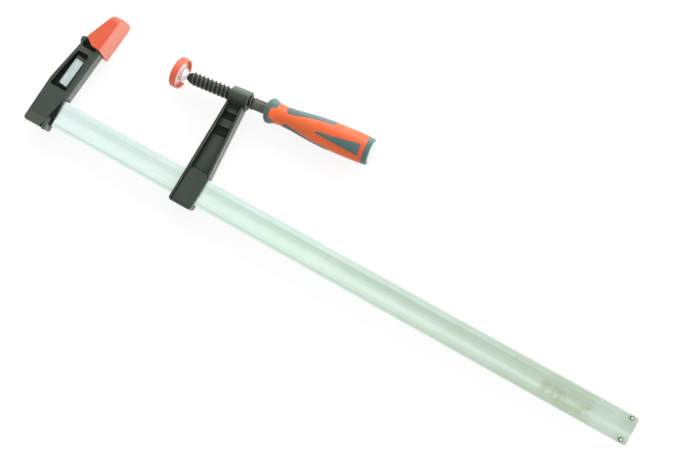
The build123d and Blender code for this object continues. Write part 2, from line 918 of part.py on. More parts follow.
with BuildPart() as grip_rear_inlays:
    add(grip_form(soft_stand))
    add(rear_windows.part, mode=Mode.INTERSECT)
    add(grip_form(-soft_depth), mode=Mode.SUBTRACT)
finish(grip_rear_inlays, "grip_rear_inlays", screw_place)

# Ring and plug that close the handle's rear end
plug_radius = grip_rear_radius - end_collar_wall
ring_end = grip_length + end_collar_length
with BuildPart() as grip_end_collar:
    with BuildSketch(grip_plane) as ring_section:
        with BuildLine():
            Polyline(
                (grip_length, plug_radius),
                (grip_length, grip_rear_radius),
                (ring_end, grip_rear_radius - end_collar_taper),
                (ring_end, plug_radius),
                close=True,
            )
        make_face()
        outer_corners = ring_section.vertices().sort_by(Axis.Y)[-2:]
        fillet(outer_corners.sort_by(Axis.X)[-1], end_edge_radius)
    revolve(axis=Axis.X)
finish(grip_end_collar, "grip_end_collar", screw_place)

with BuildPart() as handle_end_plug:
    with BuildSketch(Plane(origin=(handle_front + grip_length, 0, 0), z_dir=(1, 0, 0))):
        Circle(plug_radius)
    extrude(amount=end_collar_length + end_plug_stand)
    fillet(handle_end_plug.edges().sort_by(Axis.X)[-1:], end_edge_radius)
finish(handle_end_plug, "handle_end_plug", screw_place)
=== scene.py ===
"""Looks of a screw clamp for woodwork: finishes, the blank name plate, light and camera."""
from math import radians

import bmesh
import bpy
from mathutils import Euler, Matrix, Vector


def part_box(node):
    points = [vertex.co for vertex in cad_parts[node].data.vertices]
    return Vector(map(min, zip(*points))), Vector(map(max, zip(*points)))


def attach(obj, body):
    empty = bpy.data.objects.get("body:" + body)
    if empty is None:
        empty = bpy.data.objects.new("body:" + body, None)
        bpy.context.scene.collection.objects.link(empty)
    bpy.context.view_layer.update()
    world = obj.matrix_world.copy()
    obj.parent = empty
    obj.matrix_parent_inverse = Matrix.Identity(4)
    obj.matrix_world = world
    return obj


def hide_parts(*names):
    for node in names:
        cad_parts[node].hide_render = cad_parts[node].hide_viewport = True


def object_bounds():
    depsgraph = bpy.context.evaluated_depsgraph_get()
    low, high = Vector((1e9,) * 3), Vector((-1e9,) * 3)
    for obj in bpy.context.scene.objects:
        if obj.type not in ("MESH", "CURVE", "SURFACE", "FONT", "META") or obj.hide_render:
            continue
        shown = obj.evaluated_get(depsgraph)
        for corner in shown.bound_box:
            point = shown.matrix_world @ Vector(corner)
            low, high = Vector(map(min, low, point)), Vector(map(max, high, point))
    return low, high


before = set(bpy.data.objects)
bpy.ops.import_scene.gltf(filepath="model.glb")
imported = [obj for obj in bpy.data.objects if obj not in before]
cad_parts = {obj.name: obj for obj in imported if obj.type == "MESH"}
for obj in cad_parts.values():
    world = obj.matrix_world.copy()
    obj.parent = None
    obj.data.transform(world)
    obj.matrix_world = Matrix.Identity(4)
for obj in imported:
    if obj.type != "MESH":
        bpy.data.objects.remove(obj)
cad_low, cad_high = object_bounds()
bpy.ops.object.select_all(action="DESELECT")

# Places in the clamp's own frame, in metres and degrees
screw_tilt = 5.3
ball_centre = Vector((0.08468, 0.0027, 0.0))
plate_lean = -7.0
view_middle = Vector((0.30, -0.045, 0.0))
gap_low, gap_high = 0.02, 0.04  # x in the clamping gap, with the fixed jaw before it
rail_middle = -0.096  # y of the rail's middle line
pin_along, pin_across = 0.64004, 0.0114  # a stop pin's x, and its y from that line


# Helpers for shaders
def feed(tree, socket, value):
    """Give a socket a value, or join another socket to it."""
    if isinstance(value, bpy.types.NodeSocket):
        tree.links.new(value, socket)
    elif isinstance(value, tuple) and len(value) == 3 and socket.type == "RGBA":
        socket.default_value = (*value, 1.0)
    else:
        socket.default_value = value


def put(tree, kind, inputs=None, **settings):
    """Place a node, set what it does and feed its inputs by name or number."""
    node = tree.nodes.new(kind)
    for name, value in settings.items():
        setattr(node, name, value)
    for name, value in (inputs or {}).items():
        feed(tree, node.inputs[name], value)
    return node


def calc(tree, operation, first, *others):
    """Arithmetic on one value, or on several one after another."""
    for other in others or (0.0,):
        first = put(tree, "ShaderNodeMath", {0: first, 1: other}, operation=operation).outputs[0]
    return first


def times(tree, *masks):
    """Product of masks."""
    return calc(tree, "MULTIPLY", *masks)


def spare(tree, mask, part=1.0):
    """What a mask leaves free: 1 less a part of it."""
    return calc(tree, "SUBTRACT", 1.0, times(tree, mask, part))


def remap(tree, value, low, high, to_low=0.0, to_high=1.0, way="SMOOTHSTEP"):
    """Soft step of a value between two limits, which falls where the first limit is the higher."""
    limits = {"Value": value, "From Min": low, "From Max": high, "To Min": to_low, "To Max": to_high}
    return put(tree, "ShaderNodeMapRange", limits, interpolation_type=way).outputs[0]


def slope(tree, value, low, high, to_low=0.0, to_high=1.0):
    """Straight step of a value between two limits."""
    return remap(tree, value, low, high, to_low, to_high, "LINEAR")


def band(tree, value, limits, soft):
    """1 between two limits and 0 outside, with soft ends."""
    low, high = limits
    rise = remap(tree, value, low - soft, low + soft)
    return times(tree, rise, remap(tree, value, high + soft, high - soft))


def reach(tree, first, second):
    """Length of a line from its two sides."""
    return calc(tree, "SQRT", calc(tree, "ADD", times(tree, first, first), times(tree, second, second)))


def noise(tree, where, scale, detail, rough, twist=0.0):
    """Cloudy value between 0 and 1, with a scale in marks per metre."""
    limits = {"Vector": where, "Scale": scale, "Detail": detail, "Roughness": rough, "Distortion": twist}
    return put(tree, "ShaderNodeTexNoise", limits).outputs[0]


def cloud(tree, where, scale, limits=(0.3, 0.7), gives=(0.0, 1.0), detail=4.0, rough=0.6, twist=0.0):
    """Patches with soft sides: noise drawn apart between two limits."""
    return remap(tree, noise(tree, where, scale, detail, rough, twist), *limits, *gives)


def shade(red, green, blue):
    """Colour as it is seen on a screen, 0 to 255, turned into light."""
    return tuple(
        (c / 255 / 12.92) if c <= 10 else ((c / 255 + 0.055) / 1.055) ** 2.4
        for c in (red, green, blue)
    )


def tint(tree, share, first, second):
    """Mix two colours by a share."""
    return put(tree, "ShaderNodeMix", {0: share, 6: first, 7: second}, data_type="RGBA").outputs[2]


def layer(tree, colour, over, mask, strength):
    """Lay a second colour over a first where a mask says, at some strength."""
    return tint(tree, times(tree, mask, strength), colour, over)


def split(tree, where):
    """X, Y and Z of a place or a direction."""
    return put(tree, "ShaderNodeSeparateXYZ", {0: where}).outputs[0:3]


def object_place(tree):
    """Place on the piece, in the clamp's frame."""
    return put(tree, "ShaderNodeTexCoord").outputs["Object"]


def turned_place(tree, origin, turn):
    """Place on the piece, measured from an origin and turned about Z by some degrees."""
    mapping = put(tree, "ShaderNodeMapping", {"Vector": object_place(tree)}, vector_type="TEXTURE")
    mapping.inputs["Location"].default_value = origin
    mapping.inputs["Rotation"].default_value = (0.0, 0.0, radians(turn))
    return mapping.outputs[0]


def screw_place(tree):
    """Place on the piece, with X along the screw from the ball's middle."""
    return turned_place(tree, ball_centre, screw_tilt)


def facing(tree, axis):
    """How squarely a flat face looks along an axis, either way: 1 when fully."""
    flat = put(tree, "ShaderNodeNewGeometry").outputs["True Normal"]
    return calc(tree, "ABSOLUTE", split(tree, flat)[axis])


def openness(tree, size):
    """1 on open faces, less in corners of about a size."""
    return put(tree, "ShaderNodeAmbientOcclusion", {"Distance": size}, samples=8).outputs["AO"]


def new_group(name, takes, gives):
    """Empty node group with named sockets."""
    group = bpy.data.node_groups.new(name, "ShaderNodeTree")
    for label, kind, value in takes:
        socket = group.interface.new_socket(label, in_out="INPUT", socket_type=kind)
        socket.default_value = value
    for label, kind in gives:
        group.interface.new_socket(label, in_out="OUTPUT", socket_type=kind)
    entry = group.nodes.new("NodeGroupInput")
    leave = group.nodes.new("NodeGroupOutput")
    return group, entry.outputs, leave.inputs


def use(tree, group, **inputs):
    """Place a node group in a tree with its own values."""
    node = put(tree, "ShaderNodeGroup", node_tree=group)
    for name, value in inputs.items():
        feed(tree, node.inputs[name.replace("_", " ").capitalize()], value)
    return node.outputs


number = "NodeSocketFloat"
vector = "NodeSocketVector"


def rubbed_edge_group():
    """Rounds sharp edges a little and finds where hands and tools rub them."""
    group, takes, gives = new_group(
        "rubbed_edge",
        [("Radius", number, 0.0006), ("Breakup", number, 300.0), ("Reach", number, 1.0)],
        [("Mask", number), ("Normal", vector)],
    )
    where = object_place(group)
    rounded = put(group, "ShaderNodeBevel", {"Radius": takes["Radius"]}, samples=6).outputs[0]
    flat = put(group, "ShaderNodeNewGeometry").outputs["Normal"]
    along = put(group, "ShaderNodeVectorMath", {0: rounded, 1: flat}, operation="DOT_PRODUCT")
    edge = times(group, calc(group, "SUBTRACT", 1.0, along.outputs["Value"]), takes["Reach"])
    patch = cloud(group, where, takes["Breakup"], limits=(0.38, 0.64), gives=(0.15, 1.0), detail=5.0)
    feed(group, gives["Mask"], remap(group, times(group, edge, patch), 0.02, 0.16))
    feed(group, gives["Normal"], rounded)
    return group


def cast_skin_group():
    """Height and mottle of a sand-cast surface under paint."""
    group, takes, gives = new_group(
        "cast_skin",
        [("Coarse", number, 260.0), ("Fine", number, 1500.0)],
        [("Height", number), ("Mottle", number)],
    )
    where = object_place(group)
    lumps = noise(group, where, takes["Coarse"], detail=4.0, rough=0.6, twist=0.3)
    grain = noise(group, where, takes["Fine"], detail=2.0, rough=0.55)
    cells = put(group, "ShaderNodeTexVoronoi", {"Vector": where, "Scale": takes["Coarse"]})
    pits = remap(group, cells.outputs["Distance"], 0.02, 0.30)
    rise = calc(group, "ADD", times(group, lumps, 0.9), times(group, grain, 0.35))
    feed(group, gives["Height"], times(group, rise, slope(group, pits, 0.0, 1.0, 0.75, 1.0)))
    feed(group, gives["Mottle"], remap(group, lumps, 0.3, 0.7))
    return group


def moulded_grain_group():
    """Fine grain of a mould, dust specks, and the cloudy sheen that handling leaves."""
    group, takes, gives = new_group(
        "moulded_grain",
        [("Grain", number, 3200.0), ("Handling", number, 55.0)],
        [("Height", number), ("Sheen", number), ("Specks", number)],
    )
    where = object_place(group)
    fine = noise(group, where, takes["Grain"], detail=2.0, rough=0.6)
    cells = put(
        group, "ShaderNodeTexVoronoi", {"Vector": where, "Scale": takes["Grain"]}, feature="SMOOTH_F1"
    )
    feed(group, gives["Height"], calc(group, "ADD", fine, times(group, cells.outputs["Distance"], 0.5)))
    feed(group, gives["Sheen"], cloud(group, where, takes["Handling"], limits=(0.32, 0.68), twist=0.6))
    feed(group, gives["Specks"], cloud(group, where, 900.0, limits=(0.70, 0.78), detail=2.0, rough=0.5))
    return group


def drawn_lines_group():
    """Fine lines along X, as on drawn or turned metal."""
    group, takes, gives = new_group(
        "drawn_lines",
        [("Where", vector, (0.0, 0.0, 0.0)), ("Across", number, 900.0), ("Along", number, 6.0)],
        [("Lines", number)],
    )
    sides = {0: takes["Along"], 1: takes["Across"], 2: takes["Across"]}
    stretch = put(group, "ShaderNodeCombineXYZ", sides).outputs[0]
    place = put(group, "ShaderNodeVectorMath", {0: takes["Where"], 1: stretch}, operation="MULTIPLY")
    feed(group, gives["Lines"], noise(group, place.outputs[0], scale=1.0, detail=4.0, rough=0.65))
    return group


rubbed_edge = rubbed_edge_group()
cast_skin = cast_skin_group()
moulded_grain = moulded_grain_group()
drawn_lines = drawn_lines_group()


# Finishes
def new_finish(name, **plain):
    """Material with a shader whose plain values are set on its own sockets."""
    material = bpy.data.materials.new(name)
    material.use_nodes = True
    tree = material.node_tree
    shader = tree.nodes["Principled BSDF"]
    for label, value in plain.items():
        feed(tree, shader.inputs[label.replace("_", " ").title().replace("Ior", "IOR")], value)
    return material, tree, shader.inputs


def lay_on(tree, surface, colour, rough, height, depth, rounded, metal=None):
    """Join colour, roughness, metal share and relief of a real depth in metres to the shader."""
    feed(tree, surface["Base Color"], colour)
    feed(tree, surface["Roughness"], rough)
    if metal is not None:
        feed(tree, surface["Metallic"], metal)
    relief = {"Strength": 1.0, "Distance": depth, "Height": height, "Normal": rounded}
    feed(tree, surface["Normal"], put(tree, "ShaderNodeBump", relief).outputs[0])


def black_casting():
    """Black paint on cast iron: painted shade in pockets, corners, the sunk cheek and beside the rail's
    seat, painted light on side walls, boss top and raised spots, rubbed edges.
    """
    material, tree, surface = new_finish("black_casting_paint", Specular_ior_level=0.12)
    shade_black = shade(12, 14, 10)
    edge_round, boss_round = 0.0006, 0.0052
    # Soft limits of places on the castings, in metres
    boss_ends, boss_wall = (0.0562, 0.0782), (0.0094, 0.0120)  # along the screw, out from its axis
    boss_highlight_side, boss_shade_side = (0.0, 0.0095), (-0.001, -0.008)  # beside that axis
    pocket_floor, cheek_floor, block_top = (0.0036, 0.0030), (0.0069, 0.0066), (0.0060, 0.0066)  # z
    nub_y, nub_x = (-0.0165, -0.0145), (-0.0235, -0.0255)
    block_y, lug_y, seat_y = (-0.031, -0.028), (-0.106, -0.108), (-0.079, -0.080)
    flange_foot, flange_lean = 0.14417, 0.0373  # x of the left flange at y 0, and its lean
    shadow_y, shadow_widths, flange_step = (-0.082, -0.074), (0.0030, 0.0085), (-0.0005, -0.0002)
    boss_shadow_y, parting_line = (-0.0085, -0.0035), (0.00034, 0.00012)

    where = object_place(tree)
    x, y, z = split(tree, where)
    along, side, over = split(tree, screw_place(tree))
    level = facing(tree, 2)
    off_middle = calc(tree, "ABSOLUTE", z)
    on_fixed_jaw = remap(tree, x, gap_high, gap_low)
    on_sliding_jaw = remap(tree, x, gap_low, gap_high)
    boss_length = band(tree, along, boss_ends, soft=0.0004)
    boss = times(tree, boss_length, band(tree, reach(tree, side, over), boss_wall, soft=0.0003))
    skin = use(tree, cast_skin, coarse=330.0, fine=1700.0)
    edge = use(
        tree,
        rubbed_edge,
        radius=slope(tree, boss, 0.0, 1.0, edge_round, boss_round),
        breakup=420.0,
        reach=spare(tree, boss),
    )

    paint = tint(tree, cloud(tree, where, 38.0, detail=3.0), shade(62, 71, 64), shade(73, 82, 74))
    paint = layer(tree, paint, shade(80, 89, 80), skin["Mottle"], strength=0.35)
    paint = layer(tree, paint, shade(88, 97, 89), on_fixed_jaw, strength=0.35)
    # Painted shade on the floors of the pockets
    painted_pocket_shade = times(tree, remap(tree, level, 0.85, 0.98), remap(tree, off_middle, *pocket_floor))
    paint = layer(tree, paint, shade(16, 18, 14), painted_pocket_shade, strength=0.85)

    # Painted light on the small nub and block by the cap and on the foot's lug, which also take less painted
    # corner shade
    nub = times(tree, remap(tree, y, *nub_y), remap(tree, x, *nub_x))
    block = times(tree, remap(tree, y, *block_y), remap(tree, off_middle, *block_top))
    lug = times(tree, remap(tree, y, *lug_y), remap(tree, level, 0.3, 0.6))
    painted_raised_light = times(tree, calc(tree, "MAXIMUM", nub, block, lug), on_fixed_jaw)
    paint = layer(tree, paint, shade(108, 116, 102), painted_raised_light, strength=0.35)
    # Painted shade in corners and creases, darkest where least open
    wide_corners = remap(tree, openness(tree, 0.009), 0.85, 0.35)
    close_corners = remap(tree, openness(tree, 0.0022), 0.92, 0.50, 0.0, 0.9)
    painted_corner_shade = calc(tree, "MAXIMUM", wide_corners, close_corners)
    painted_corner_shade = times(tree, painted_corner_shade, spare(tree, painted_raised_light, part=0.85))
    # Painted light on the side walls, broken by a cloud
    painted_wall_light = times(tree, remap(tree, level, 0.75, 0.25), spare(tree, painted_corner_shade))
    paint = layer(tree, paint, shade(140, 147, 140), painted_wall_light, cloud(tree, where, 90.0, gives=(0.65, 1.0)))
    paint = layer(tree, paint, shade_black, painted_corner_shade, strength=0.85)

    # Painted shadow in the sliding jaw's sunk cheek, along its left flange and under its boss
    from_flange = calc(tree, "SUBTRACT", x, times(tree, y, flange_lean), flange_foot)
    width = remap(tree, y, *shadow_y, *shadow_widths)
    beside = remap(tree, calc(tree, "DIVIDE", from_flange, width), 1.0, 0.0)
    beside = times(tree, beside, remap(tree, from_flange, *flange_step))
    cheek = times(tree, remap(tree, off_middle, *cheek_floor), remap(tree, level, 0.8, 0.95))
    painted_cheek_shadow = calc(tree, "MAXIMUM", beside, remap(tree, y, *boss_shadow_y))
    paint = layer(tree, paint, shade_black, times(tree, painted_cheek_shadow, cheek, on_sliding_jaw), strength=0.9)
    # Painted shadow on the slope beside the rail's seat
    painted_seat_shadow = times(tree, band(tree, level, (0.90, 0.965), soft=0.01), remap(tree, y, *seat_y), on_fixed_jaw)
    paint = layer(tree, paint, shade(14, 20, 23), painted_seat_shadow, strength=0.95)

    # Painted highlight on the boss's upper side and painted shade on its underside
    paint = layer(tree, paint, shade(134, 145, 135), times(tree, boss, remap(tree, side, *boss_highlight_side)), 0.85)
    paint = layer(tree, paint, shade(20, 24, 20), times(tree, boss, remap(tree, side, *boss_shade_side)), 0.7)
    flash = times(tree, remap(tree, off_middle, *parting_line), remap(tree, level, 0.5, 0.2))
    paint = layer(tree, paint, shade(112, 120, 110), flash, strength=0.5)
    paint = layer(tree, paint, shade(98, 102, 88), times(tree, edge["Mask"], spare(tree, painted_corner_shade)), 0.6)
    lay_on(
        tree,
        surface,
        paint,
        rough=cloud(tree, where, 120.0, gives=(0.30, 0.44)),
        height=calc(tree, "ADD", skin["Height"], times(tree, flash, 0.6)),
        depth=0.00022,
        rounded=edge["Normal"],
    )
    return material


def zinc_rail():
    """Zinc on a rolled rail: darker towards its free end, painted highlight and shade in bands along its
    hollow and edges, streaks, and a stain and rub marks at its end.
    """
    material, tree, surface = new_finish("zinc_plated_rail", Specular_ior_level=0.5)
    # Bands along the rail in y, and marks near its free end in x and y, in metres
    hollow_shade_band, hollow_highlight_band, upper_rim_highlight = (-0.0945, -0.0880), (-0.1025, -0.0985), (-0.0838, -0.0822)
    low_edge_shade, hollow_edge_shade = (-0.1094, -0.1072), (-0.0902, -0.0888)
    stain_x, stain_y, pale_end_x = (0.552, 0.604), (-0.1065, -0.0925), (0.606, 0.632)
    rubs_x, rubs_y = (0.611, 0.633), (-0.0885, -0.0830)

    where = object_place(tree)
    x, y, z = split(tree, where)
    on_front = remap(tree, z, 0.001, 0.003)
    onward = slope(tree, x, 0.08, 0.38, 0.35, 1.0)
    lines = use(tree, drawn_lines, where=where, across=1500.0, along=7.0)["Lines"]
    streaks = use(tree, drawn_lines, where=where, across=300.0, along=3.0)["Lines"]
    edge = use(tree, rubbed_edge, radius=0.0005, breakup=160.0, reach=0.8)
    bloom = cloud(tree, where, 28.0, limits=(0.3, 0.72), twist=0.4)
    cells = put(tree, "ShaderNodeTexVoronoi", {"Vector": where, "Scale": 260.0}).outputs["Color"]
    spangle = put(tree, "ShaderNodeSeparateColor", {0: cells}).outputs[0]

    # Zinc darker towards the rail's free end
    zinc_near_fixed_jaw = tint(tree, bloom, shade(238, 255, 253), shade(231, 251, 247))
    zinc_midway = tint(tree, bloom, shade(227, 248, 235), shade(219, 242, 227))
    zinc_near_free_end = tint(tree, bloom, shade(195, 211, 191), shade(186, 203, 183))
    zinc = tint(tree, slope(tree, x, 0.02, 0.30), zinc_near_fixed_jaw, zinc_midway)
    zinc = tint(tree, slope(tree, x, 0.30, 0.58), zinc, zinc_near_free_end)
    # Painted shade on the hollow's upper half and a painted highlight on its lower half
    dark = times(tree, band(tree, y, hollow_shade_band, soft=0.0020), onward)
    zinc = layer(tree, zinc, shade(183, 204, 188), dark, strength=0.50)
    bright = band(tree, y, hollow_highlight_band, soft=0.0018)
    zinc = layer(tree, zinc, shade(238, 253, 248), bright, slope(tree, x, 0.35, 0.60, 0.56, 0.36))
    # Painted highlight along the upper rim, painted shade lines along the lower edge and the hollow's upper
    # edge
    zinc = layer(tree, zinc, shade(238, 248, 238), remap(tree, y, *upper_rim_highlight), strength=0.35)
    zinc = layer(tree, zinc, shade(168, 182, 158), band(tree, y, low_edge_shade, soft=0.0006), strength=0.30)
    ridge = times(tree, band(tree, y, hollow_edge_shade, soft=0.0006), onward)
    zinc = layer(tree, zinc, shade(164, 184, 164), ridge, strength=0.22)
    zinc = layer(tree, zinc, shade(172, 194, 178), remap(tree, streaks, 0.45, 0.7), strength=0.16)
    zinc = layer(tree, zinc, shade(176, 194, 180), spangle, strength=0.06)
    zinc = layer(tree, zinc, shade(166, 186, 172), remap(tree, lines, 0.35, 0.7), strength=0.07)
    # Paler band near the free end
    zinc = layer(tree, zinc, shade(208, 226, 220), band(tree, x, pale_end_x, soft=0.006), strength=0.45)

    patchy = cloud(tree, where, 75.0, limits=(0.40, 0.58), gives=(0.15, 1.0), detail=3.0, twist=0.6)
    film = times(tree, band(tree, x, stain_x, soft=0.004), band(tree, y, stain_y, soft=0.0025))
    film = times(tree, film, patchy, on_front, 0.5)
    zinc = tint(tree, film, zinc, shade(158, 170, 126))
    waves = put(
        tree,
        "ShaderNodeTexWave",
        {"Vector": where, "Scale": 125.0, "Distortion": 2.0, "Detail": 2.0, "Detail Scale": 60.0},
        wave_type="BANDS",
        bands_direction="X",
    ).outputs[1]
    rubs = times(tree, band(tree, x, rubs_x, soft=0.002), band(tree, y, rubs_y, soft=0.001), on_front)
    rubs = times(tree, rubs, remap(tree, waves, 0.66, 0.95))
    zinc = layer(tree, zinc, shade(158, 160, 118), rubs, strength=0.42)
    zinc = layer(tree, zinc, shade(178, 194, 182), edge["Mask"], strength=0.5)
    lay_on(
        tree,
        surface,
        zinc,
        rough=calc(tree, "ADD", remap(tree, lines, 0.3, 0.7, 0.30, 0.42), times(tree, film, 0.3)),
        metal=slope(tree, film, 0.0, 1.0, 0.6, 0.2),
        height=calc(tree, "ADD", lines, times(tree, rubs, -1.5)),
        depth=0.000025,
        rounded=edge["Normal"],
    )
    return material


def soft_cap():
    """Soft red plastic, paler on the faces that press from scuffs and a painted grazing reflection, and with
    painted light on the pad's sides.
    """
    material, tree, surface = new_finish(
        "soft_red_cap", Specular_ior_level=0.45, Subsurface_weight=0.08, Subsurface_scale=0.002
    )
    surface["Subsurface Radius"].default_value = (1.0, 0.35, 0.2)
    where = object_place(tree)
    edge = use(tree, rubbed_edge, radius=0.0006, breakup=260.0, reach=0.9)
    grain = use(tree, moulded_grain, grain=2600.0, handling=70.0)
    pressed_scuff_and_reflection = remap(tree, facing(tree, 0), 0.80, 0.97)
    scuff = cloud(tree, where, 240.0, (0.36, 0.66), (0.55, 1.0), detail=5.0, rough=0.65, twist=0.8)
    on_pad = remap(tree, split(tree, where)[0], gap_low, gap_high)
    pad_side_light = times(tree, on_pad, remap(tree, pressed_scuff_and_reflection, 0.8, 0.2))
    red = tint(tree, grain["Sheen"], shade(246, 102, 68), shade(250, 114, 78))
    # Clamping faces paler: scuffs, and a painted grazing reflection
    red = layer(tree, red, shade(238, 160, 138), pressed_scuff_and_reflection, scuff)
    red = layer(tree, red, shade(250, 136, 106), edge["Mask"], strength=0.5)
    red = layer(tree, red, shade(190, 82, 62), grain["Specks"], strength=0.35)
    # Painted light on the sides of the pad's cap
    red = layer(tree, red, shade(255, 116, 92), pad_side_light, strength=0.45)
    rough = remap(tree, grain["Sheen"], 0.0, 1.0, 0.40, 0.56)
    lay_on(tree, surface, red, rough, grain["Height"], depth=0.00004, rounded=edge["Normal"])
    return material


def upper_side_light(tree, where):
    """Upper side of the handle, where its plastic is painted lighter as if lit more."""
    return remap(tree, split(tree, where)[1], 0.0050, 0.0105)


def handle_orange():
    """Orange moulded plastic of the handle's core, with painted light on its upper side."""
    material, tree, surface = new_finish(
        "orange_handle_plastic", Specular_ior_level=0.5, Sheen_weight=0.22, Sheen_roughness=0.35
    )
    where = screw_place(tree)
    edge = use(tree, rubbed_edge, radius=0.0005, breakup=200.0, reach=0.8)
    grain = use(tree, moulded_grain, grain=3600.0, handling=45.0)
    flow = cloud(tree, where, 24.0, limits=(0.35, 0.65), detail=3.0, rough=0.5, twist=0.8)
    orange = tint(tree, flow, shade(250, 96, 38), shade(253, 112, 54))
    # Painted light on the handle's upper side
    orange = layer(tree, orange, shade(255, 142, 94), upper_side_light(tree, where), strength=0.30)
    orange = layer(tree, orange, shade(255, 138, 92), edge["Mask"], strength=0.35)
    orange = layer(tree, orange, shade(196, 74, 40), grain["Specks"], strength=0.25)
    rough = remap(tree, grain["Sheen"], 0.0, 1.0, 0.30, 0.46)
    lay_on(tree, surface, orange, rough, grain["Height"], depth=0.00002, rounded=edge["Normal"])
    return material


def soft_grip():
    """Grey-teal soft plastic of the grip, faded in patches, with painted light on its upper side."""
    material, tree, surface = new_finish(
        "grey_teal_soft_grip", Specular_ior_level=0.45, Sheen_weight=0.45, Sheen_roughness=0.4
    )
    where = screw_place(tree)
    edge = use(tree, rubbed_edge, radius=0.0005, breakup=260.0, reach=0.8)
    grain = use(tree, moulded_grain, grain=2400.0, handling=60.0)
    teal = tint(tree, grain["Sheen"], shade(76, 102, 102), shade(88, 115, 114))
    teal = layer(tree, teal, shade(134, 164, 162), edge["Mask"], strength=0.4)
    teal = layer(tree, teal, shade(104, 130, 130), cloud(tree, where, 70.0, detail=3.0), strength=0.25)
    # Painted light on the grip's upper side
    teal = layer(tree, teal, shade(134, 168, 166), upper_side_light(tree, where), strength=0.40)
    teal = layer(tree, teal, shade(128, 150, 148), grain["Specks"], strength=0.4)
    rough = remap(tree, grain["Sheen"], 0.0, 1.0, 0.50, 0.68)
    lay_on(tree, surface, teal, rough, grain["Height"], depth=0.00006, rounded=edge["Normal"])
    return material


def blackened_screw():
    """Blackened steel: painted shade in the roots of the thread and crests rubbed bright with a painted
    highlight, an olive shank behind it.
    """
    material, tree, surface = new_finish("blackened_screw_steel", Specular_ior_level=0.5)
    crest_radius, root_radius, shank_start = (0.0062, 0.0068), (0.0060, 0.0054), (0.0822, 0.0835)
    where = screw_place(tree)
    along, side, over = split(tree, where)
    out = reach(tree, side, over)
    edge = use(tree, rubbed_edge, radius=0.0003, breakup=500.0, reach=1.2)
    lines = use(tree, drawn_lines, where=where, across=1300.0, along=240.0)["Lines"]
    oxide = cloud(tree, where, 150.0)
    rub = cloud(tree, where, 380.0, limits=(0.35, 0.6), gives=(0.3, 0.8), detail=3.0)
    smear = cloud(tree, where, 90.0, limits=(0.35, 0.65), detail=3.0, rough=0.5, twist=0.5)
    thread = tint(tree, oxide, shade(46, 52, 46), shade(60, 66, 58))
    # Painted shade in the thread's roots; crests lighter from rubbing and a painted highlight
    thread = layer(tree, thread, shade(16, 19, 16), remap(tree, out, *root_radius), strength=0.75)
    thread = layer(tree, thread, shade(98, 106, 96), remap(tree, out, *crest_radius), rub)
    shank = tint(tree, oxide, shade(82, 80, 66), shade(100, 99, 86))
    shank = layer(tree, shank, shade(74, 78, 72), smear, strength=0.5)
    steel = tint(tree, remap(tree, along, *shank_start), thread, shank)
    steel = layer(tree, steel, shade(112, 118, 108), edge["Mask"], strength=0.35)
    lay_on(
        tree,
        surface,
        steel,
        rough=remap(tree, lines, 0.3, 0.7, 0.36, 0.52),
        metal=remap(tree, oxide, 0.0, 1.0, 0.30, 0.5),
        height=calc(tree, "ADD", lines, oxide),
        depth=0.00004,
        rounded=edge["Normal"],
    )
    return material


def bright_steel():
    """Bright plated steel with a slight haze and painted shade in its corners."""
    material, tree, surface = new_finish("bright_plated_steel", Specular_ior_level=0.5)
    where = screw_place(tree)
    lines = use(tree, drawn_lines, where=where, across=420.0, along=420.0)["Lines"]
    edge = use(tree, rubbed_edge, radius=0.0003, breakup=500.0, reach=1.0)
    haze = cloud(tree, where, 180.0)
    corner = remap(tree, openness(tree, 0.003), 0.55, 0.15)
    steel = tint(tree, haze, shade(246, 250, 248), shade(230, 238, 236))
    steel = layer(tree, steel, shade(250, 252, 250), edge["Mask"], strength=0.4)
    # Painted shade in the corners
    steel = layer(tree, steel, shade(96, 112, 114), corner, strength=0.6)
    lay_on(
        tree,
        surface,
        steel,
        rough=remap(tree, lines, 0.3, 0.7, 0.26, 0.40),
        metal=remap(tree, haze, 0.0, 1.0, 0.42, 0.3),
        height=lines,
        depth=0.000004,
        rounded=edge["Normal"],
    )
    return material


def stop_pin_steel():
    """Steel pins with a bright middle and a dark upset ring round it."""
    material, tree, surface = new_finish("stop_pin_steel", Specular_ior_level=0.5)
    where = object_place(tree)
    x, y = split(tree, where)[0:2]
    from_line = calc(tree, "ABSOLUTE", calc(tree, "SUBTRACT", y, rail_middle))
    along, across = calc(tree, "SUBTRACT", x, pin_along), calc(tree, "SUBTRACT", from_line, pin_across)
    ring = remap(tree, reach(tree, across, along), 0.0010, 0.0016)
    edge = use(tree, rubbed_edge, radius=0.0002, breakup=600.0, reach=0.8)
    grain = noise(tree, where, 900.0, detail=4.0, rough=0.6)
    steel = tint(tree, ring, shade(226, 236, 232), shade(84, 100, 98))
    steel = layer(tree, steel, shade(120, 132, 128), remap(tree, grain, 0.4, 0.65), strength=0.25)
    steel = layer(tree, steel, shade(190, 200, 196), edge["Mask"], strength=0.3)
    lay_on(
        tree,
        surface,
        steel,
        rough=remap(tree, grain, 0.3, 0.7, 0.25, 0.45),
        metal=remap(tree, ring, 0.0, 1.0, 0.9, 0.5),
        height=grain,
        depth=0.00004,
        rounded=edge["Normal"],
    )
    return material


